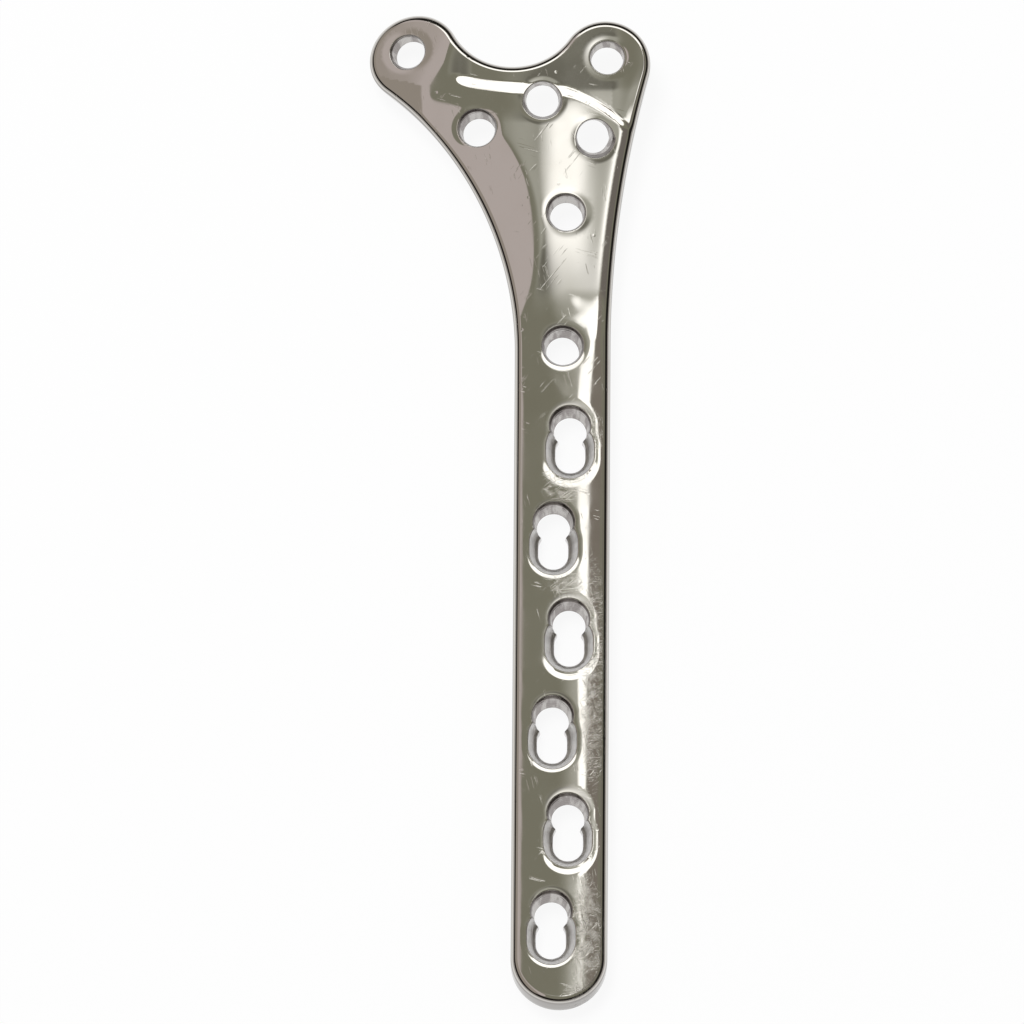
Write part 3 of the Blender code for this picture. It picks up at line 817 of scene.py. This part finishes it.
def build_plate():
    """The whole plate as one closed mesh object, placed where the solid is."""
    surface = Surface()
    outer_loop, bone_loop = build_rims(surface)
    outer_loops, bone_loops = [outer_loop], [bone_loop]
    holes = [thread_hole(surface, *hole) for hole in THREADED_HOLES]
    holes += [combination_hole(surface, combination_place(index)) for index in range(COMBINATION_COUNT)]
    for upper, lower in holes:
        outer_loops.append(upper)
        bone_loops.append(lower)
    places, numbers = fill_face(surface, SHAFT_THICKNESS, FACE_STEP, outer_loops, True)
    fill_face(surface, 0.0, BONE_FACE_STEP, bone_loops, False)

    points = np.concatenate(surface.points)
    low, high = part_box("bone_plate")
    middle = (points.min(axis=0) + points.max(axis=0)) / 2
    shift = np.array([(low.x + high.x) / 2 - middle[0], (low.y + high.y) / 2 - middle[1], 0.0])
    quads = [np.concatenate(group).tolist() for group in surface.quads]
    finishes = [finish for finish, group in enumerate(quads) for _ in group]
    faces = sum(quads, []) + np.concatenate(surface.triangles).tolist()
    mesh = bpy.data.meshes.new("polished_plate")
    mesh.from_pydata((points + shift).tolist(), [], faces)
    mesh.shade_smooth()
    mesh.materials.append(steel(shift))
    for finish in (THREAD_FINISH, COUNTERSINK_PAINTED_SHADE, RAMP_PAINTED_HIGHLIGHT):
        mesh.materials.append(machined_steel(*finish))
    for face, finish in zip(mesh.polygons, finishes):
        face.material_index = finish
    sharp = {tuple(sorted(pair)) for pair in surface.sharp}
    for edge in mesh.edges:
        if tuple(sorted(edge.vertices)) in sharp:
            edge.use_edge_sharp = True
    normals = np.zeros((len(points), 3))
    for spots, ring in surface.face_rings + [(places, numbers)]:
        normals[ring] = face_normals(spots[:, 0], spots[:, 1], SHAFT_THICKNESS)
    mesh.normals_split_custom_set_from_vertices(normals.tolist())
    plate = bpy.data.objects.new("polished_plate", mesh)
    bpy.context.scene.collection.objects.link(plate)
    return plate


# Materials

def new_material(name):
    material = bpy.data.materials.new(name)
    material.use_nodes = True
    tree = material.node_tree
    return material, tree, tree.nodes["Principled BSDF"]


def in_frame(tree, vector, shift, turn, size):
    """A place or direction as seen from a shifted, turned and scaled frame."""
    mapping = tree.nodes.new("ShaderNodeMapping")
    mapping.vector_type = "TEXTURE"
    mapping.inputs["Location"].default_value = shift
    mapping.inputs["Rotation"].default_value = (0, 0, radians(turn))
    mapping.inputs["Scale"].default_value = size
    tree.links.new(vector, mapping.inputs["Vector"])
    return mapping.outputs[0]


def place_on_plate(tree, shift=(0, 0, 0), turn=0, size=(1, 1, 1)):
    """The mesh's own coordinates, in such a frame."""
    place = tree.nodes.new("ShaderNodeTexCoord")
    return in_frame(tree, place.outputs["Object"], shift, turn, size)


def noise(tree, vector, scale, detail, distortion=0.0):
    texture = tree.nodes.new("ShaderNodeTexNoise")
    texture.inputs["Scale"].default_value = scale
    texture.inputs["Detail"].default_value = detail
    texture.inputs["Distortion"].default_value = distortion
    tree.links.new(vector, texture.inputs["Vector"])
    return texture.outputs[0]


def ranged(tree, value, low, high, to_low=0.0, to_high=1.0):
    mapped = tree.nodes.new("ShaderNodeMapRange")
    mapped.interpolation_type = "SMOOTHSTEP"
    for name, number in (("From Min", low), ("From Max", high), ("To Min", to_low), ("To Max", to_high)):
        mapped.inputs[name].default_value = number
    tree.links.new(value, mapped.inputs["Value"])
    return mapped.outputs["Result"]


def maths(tree, operation, first, second):
    """A sum, product or such of two values, of which the second may be a number."""
    node = tree.nodes.new("ShaderNodeMath")
    node.operation = operation
    tree.links.new(first, node.inputs[0])
    if isinstance(second, float):
        node.inputs[1].default_value = second
    else:
        tree.links.new(second, node.inputs[1])
    return node.outputs[0]


def vector_maths(tree, operation, vector):
    node = tree.nodes.new("ShaderNodeVectorMath")
    node.operation = operation
    tree.links.new(vector, node.inputs[0])
    return node


def all_of(tree, operation, values):
    """One operation over a whole row of values."""
    total = values[0]
    for value in values[1:]:
        total = maths(tree, operation, total, value)
    return total


def streaks(tree, sets):
    """Fine straight scratches in several directions, 1 in a scratch and 0 beside it."""
    masks = []
    for number, (turn, density, stretch, cover) in enumerate(sets):
        place = place_on_plate(tree, (0.01 * number, 0, 0), turn, (1, stretch, 1))
        line = ranged(tree, noise(tree, place, density, *SCRATCH_LINES[0]), *SCRATCH_LINES[1])
        where = noise(tree, place_on_plate(tree, (0.3 * number, 0.1, 0)), *SCRATCH_AREAS)
        shown = ranged(tree, where, 1 - cover - SCRATCH_AREA_EDGE, 1 - cover)
        masks.append(maths(tree, "MULTIPLY", line, shown))
    return all_of(tree, "MAXIMUM", masks)


def scuffed_places(tree, shift):
    """1 in the middle of each scuffed place, fading to 0 at its border."""
    masks = []
    for middle, size, turn, strength in SCUFFS:
        place = place_on_plate(tree, (middle[0] + shift[0], middle[1] + shift[1], 0), turn, (*size, 1))
        length = vector_maths(tree, "LENGTH", place)
        masks.append(ranged(tree, length.outputs["Value"], *SCUFF_FADE, 0.0, strength))
    return all_of(tree, "MAXIMUM", masks)


def blend(tree, factor, first, second):
    """One colour over another. The first may be a colour or what another node gives."""
    mix = tree.nodes.new("ShaderNodeMix")
    mix.data_type = "RGBA"
    tree.links.new(factor, mix.inputs["Factor"])
    if isinstance(first, tuple):
        mix.inputs["A"].default_value = first
    else:
        tree.links.new(first, mix.inputs["A"])
    mix.inputs["B"].default_value = second
    return mix.outputs["Result"]


def bump(tree, height, depth, under=None):
    node = tree.nodes.new("ShaderNodeBump")
    node.inputs["Strength"].default_value = 1.0
    node.inputs["Distance"].default_value = depth
    tree.links.new(height, node.inputs["Height"])
    if under is not None:
        tree.links.new(under, node.inputs["Normal"])
    return node.outputs["Normal"]


def steel(shift):
    """Mirror-polished steel with fine scratches, small dents, scuffed places, the slow waves of buffing, and painted
    shade on its upright sides.
    """
    material, tree, shader = new_material("mirror_polished_steel")
    shader.inputs["Metallic"].default_value = 1.0
    scuffed = scuffed_places(tree, shift)
    fine = streaks(tree, SCRATCH_SETS)
    coarse = maths(tree, "MULTIPLY", streaks(tree, SCUFF_SETS), scuffed)
    scratched = maths(tree, "MAXIMUM", maths(tree, "MULTIPLY", fine, FINE_SCRATCHES), coarse)
    smudge = ranged(tree, noise(tree, place_on_plate(tree), *SMUDGES[0]), *SMUDGES[1])
    handled = ranged(tree, smudge, 0.0, 1.0, *STEEL_ROUGHNESS)
    patchy = ranged(tree, noise(tree, place_on_plate(tree, (0, 0.2, 0)), *RUBBING[0]), *RUBBING[1])
    rubbed = maths(tree, "MULTIPLY", maths(tree, "MULTIPLY", patchy, scuffed), SCUFF_ROUGHNESS)
    scored = maths(tree, "MULTIPLY", scratched, SCRATCH_ROUGHNESS)
    worn = all_of(tree, "ADD", [handled, rubbed, scored])
    tree.links.new(worn, shader.inputs["Roughness"])
    stain = ranged(tree, noise(tree, place_on_plate(tree, (0.05, 0, 0)), *STAINS[0]), *STAINS[1])
    colour = blend(tree, stain, STEEL_COLOUR, STEEL_STAIN)
    # Painted shade: faces whose normal stands upright get the darker side colour
    axes = tree.nodes.new("ShaderNodeSeparateXYZ")
    tree.links.new(tree.nodes.new("ShaderNodeNewGeometry").outputs["Normal"], axes.inputs[0])
    below_top = ranged(tree, axes.outputs["Z"], *SIDE_SLOPES)
    above_base = ranged(tree, axes.outputs["Z"], -SIDE_SLOPES[0], -SIDE_SLOPES[1])
    upright = maths(tree, "MULTIPLY", below_top, above_base)
    tree.links.new(blend(tree, upright, colour, SIDE_PAINTED_SHADE), shader.inputs["Base Color"])

    wave = noise(tree, place_on_plate(tree, size=WAVE_STRETCH), *WAVES)
    dents = tree.nodes.new("ShaderNodeTexVoronoi")
    dents.inputs["Scale"].default_value = DENT_SCALE
    tree.links.new(place_on_plate(tree), dents.inputs["Vector"])
    chosen = ranged(tree, noise(tree, place_on_plate(tree, (0.2, 0, 0)), *DENT_AREAS[0]), *DENT_AREAS[1])
    dent = maths(tree, "MULTIPLY", ranged(tree, dents.outputs["Distance"], *DENT_SIZE), chosen)
    normal = bump(tree, wave, WAVE_DEPTH)
    normal = bump(tree, maths(tree, "MULTIPLY", dent, -1.0), DENT_DEPTH, normal)
    normal = bump(tree, maths(tree, "MULTIPLY", scratched, -1.0), SCRATCH_DEPTH, normal)
    tree.links.new(normal, shader.inputs["Normal"])
    return material


def machined_steel(name, colour, stain, roughness):
    """The holes' walls: duller steel with the cutter's fine marks round them and darker film between. The
    countersink's near-black colour is painted shade and the ramp's near-white colour a painted highlight.
    """
    material, tree, shader = new_material(name)
    shader.inputs["Metallic"].default_value = 1.0
    marks = noise(tree, place_on_plate(tree, size=MARK_STRETCH), *MARKS[0])
    film = ranged(tree, noise(tree, place_on_plate(tree, (0, 0.1, 0), 0, FILM_STRETCH), *FILM[0]), *FILM[1])
    tree.links.new(blend(tree, film, colour, stain), shader.inputs["Base Color"])
    tree.links.new(ranged(tree, marks, *MARKS[1], *roughness), shader.inputs["Roughness"])
    tree.links.new(bump(tree, marks, MARK_DEPTH), shader.inputs["Normal"])
    return material


# Stage

def tent_colour(tree, direction):
    """What the polished steel sees in each direction: a dim room with soft lamps overhead, as ellipses in plan."""
    axes = tree.nodes.new("ShaderNodeSeparateXYZ")
    tree.links.new(direction, axes.inputs[0])
    ramp = tree.nodes.new("ShaderNodeValToRGB")
    tree.links.new(axes.outputs["Z"], ramp.inputs["Fac"])
    first, last = ramp.color_ramp.elements
    first.position, first.color = ROOM_STEPS[0]
    last.position, last.color = ROOM_STEPS[-1]
    for place, colour in ROOM_STEPS[1:-1]:
        ramp.color_ramp.elements.new(place).color = colour
    seen = ramp.outputs["Color"]
    for colour, middle, size, turn, soft in ROOM_PATCHES:
        flat = vector_maths(tree, "MULTIPLY", in_frame(tree, direction, (*middle, 0), turn, (*size, 1)))
        flat.inputs[1].default_value = (1, 1, 0)
        length = vector_maths(tree, "LENGTH", flat.outputs[0])
        inside = ranged(tree, length.outputs["Value"], 1 + soft, 1 - soft)
        seen = blend(tree, inside, seen, colour)
    return seen


def build_tent():
    """A wide dome round the plate and the camera, which only reflections see."""
    bpy.ops.mesh.primitive_uv_sphere_add(segments=TENT_SEGMENTS, ring_count=TENT_RINGS, radius=TENT_RADIUS)
    tent = bpy.context.object
    tent.name = "studio_tent"
    material, tree, shader = new_material("studio_tent")
    tree.nodes.remove(shader)
    place = tree.nodes.new("ShaderNodeTexCoord")
    scale = vector_maths(tree, "SCALE", place.outputs["Object"])
    scale.inputs["Scale"].default_value = 1 / TENT_RADIUS
    glow = tree.nodes.new("ShaderNodeEmission")
    tree.links.new(tent_colour(tree, scale.outputs[0]), glow.inputs["Color"])
    tree.links.new(glow.outputs[0], tree.nodes["Material Output"].inputs["Surface"])
    tent.data.materials.append(material)
    tent.data.shade_smooth()
    tent.visible_camera = False
    tent.visible_diffuse = False
    tent.visible_transmission = False
    tent.visible_shadow = False
    tent.visible_volume_scatter = False
    return tent


def background_mix(tree, lit, plain, amount):
    """So much plain white for camera, mirror and glass rays, and what is lit for the rest."""
    path = tree.nodes.new("ShaderNodeLightPath")
    rays = [path.outputs[name] for name in ("Is Camera Ray", "Is Glossy Ray", "Is Transmission Ray")]
    mix = tree.nodes.new("ShaderNodeMixShader")
    tree.links.new(maths(tree, "MULTIPLY", all_of(tree, "MAXIMUM", rays), amount), mix.inputs[0])
    tree.links.new(lit, mix.inputs[1])
    tree.links.new(plain, mix.inputs[2])
    return mix.outputs[0]


def build_floor():
    bpy.ops.mesh.primitive_plane_add(size=FLOOR_SIZE)
    floor = bpy.context.object
    floor.name = "studio_floor"
    material, tree, shader = new_material("pale_floor")
    shader.inputs["Base Color"].default_value = FLOOR_COLOUR
    shader.inputs["Roughness"].default_value = 1.0
    shader.inputs["Specular IOR Level"].default_value = 0.0
    white = tree.nodes.new("ShaderNodeEmission")
    white.inputs["Color"].default_value = PLAIN_WHITE
    mixed = background_mix(tree, shader.outputs[0], white.outputs[0], FLOOR_WHITE)
    tree.links.new(mixed, tree.nodes["Material Output"].inputs["Surface"])
    floor.data.materials.append(material)
    return floor


def build_world():
    world = bpy.data.worlds.new("pale_studio")
    bpy.context.scene.world = world
    world.use_nodes = True
    tree = world.node_tree
    lit = tree.nodes["Background"]
    lit.inputs["Color"].default_value = PLAIN_WHITE
    lit.inputs["Strength"].default_value = WORLD_LEVEL
    white = tree.nodes.new("ShaderNodeBackground")
    white.inputs["Color"].default_value = PLAIN_WHITE
    mixed = background_mix(tree, lit.outputs[0], white.outputs[0], 1.0)
    tree.links.new(mixed, tree.nodes["World Output"].inputs["Surface"])


def build_lamp():
    """A soft lamp overhead, for the shadow under the plate."""
    light = bpy.data.lights.new("soft_lamp", "AREA")
    light.shape = "DISK"
    light.size = LAMP_SIZE
    light.energy = LAMP_POWER
    lamp = bpy.data.objects.new("soft_lamp", light)
    bpy.context.scene.collection.objects.link(lamp)
    lamp.location = LAMP_PLACE
    lamp.rotation_euler = (-Vector(LAMP_PLACE)).to_track_quat("-Z", "Y").to_euler()
    lamp.visible_glossy = False
    lamp.visible_camera = False


def build_camera():
    """The photograph's view: from 3 m away, leaning back towards the shaft's end."""
    tilt, roll = radians(CAMERA_TILT), CAMERA_ROLL
    up = Vector((0, np.cos(tilt), np.sin(tilt)))
    right = Vector((1, 0, 0))
    back = right.cross(up)
    turned_right = right * np.cos(roll) - up * np.sin(roll)
    turned_up = right * np.sin(roll) + up * np.cos(roll)
    data = bpy.data.cameras.new("photograph_view")
    data.sensor_width = SENSOR_WIDTH
    data.lens = SENSOR_WIDTH * CAMERA_DISTANCE / FRAME_WIDTH
    camera = bpy.data.objects.new("photograph_view", data)
    bpy.context.scene.collection.objects.link(camera)
    target = Vector(CAMERA_TARGET) + turned_right * CAMERA_SHIFT[0] + turned_up * CAMERA_SHIFT[1]
    place = target + back * CAMERA_DISTANCE
    camera.matrix_world = Matrix.Translation(place) @ Matrix(
        (turned_right, turned_up, back)).transposed().to_4x4()
    bpy.context.scene.camera = camera


plate = build_plate()
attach(plate, "root")
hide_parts("bone_plate")

build_world()
build_lamp()
build_camera()
build_floor()
build_tent()
bpy.context.scene.view_settings.view_transform = "Standard"
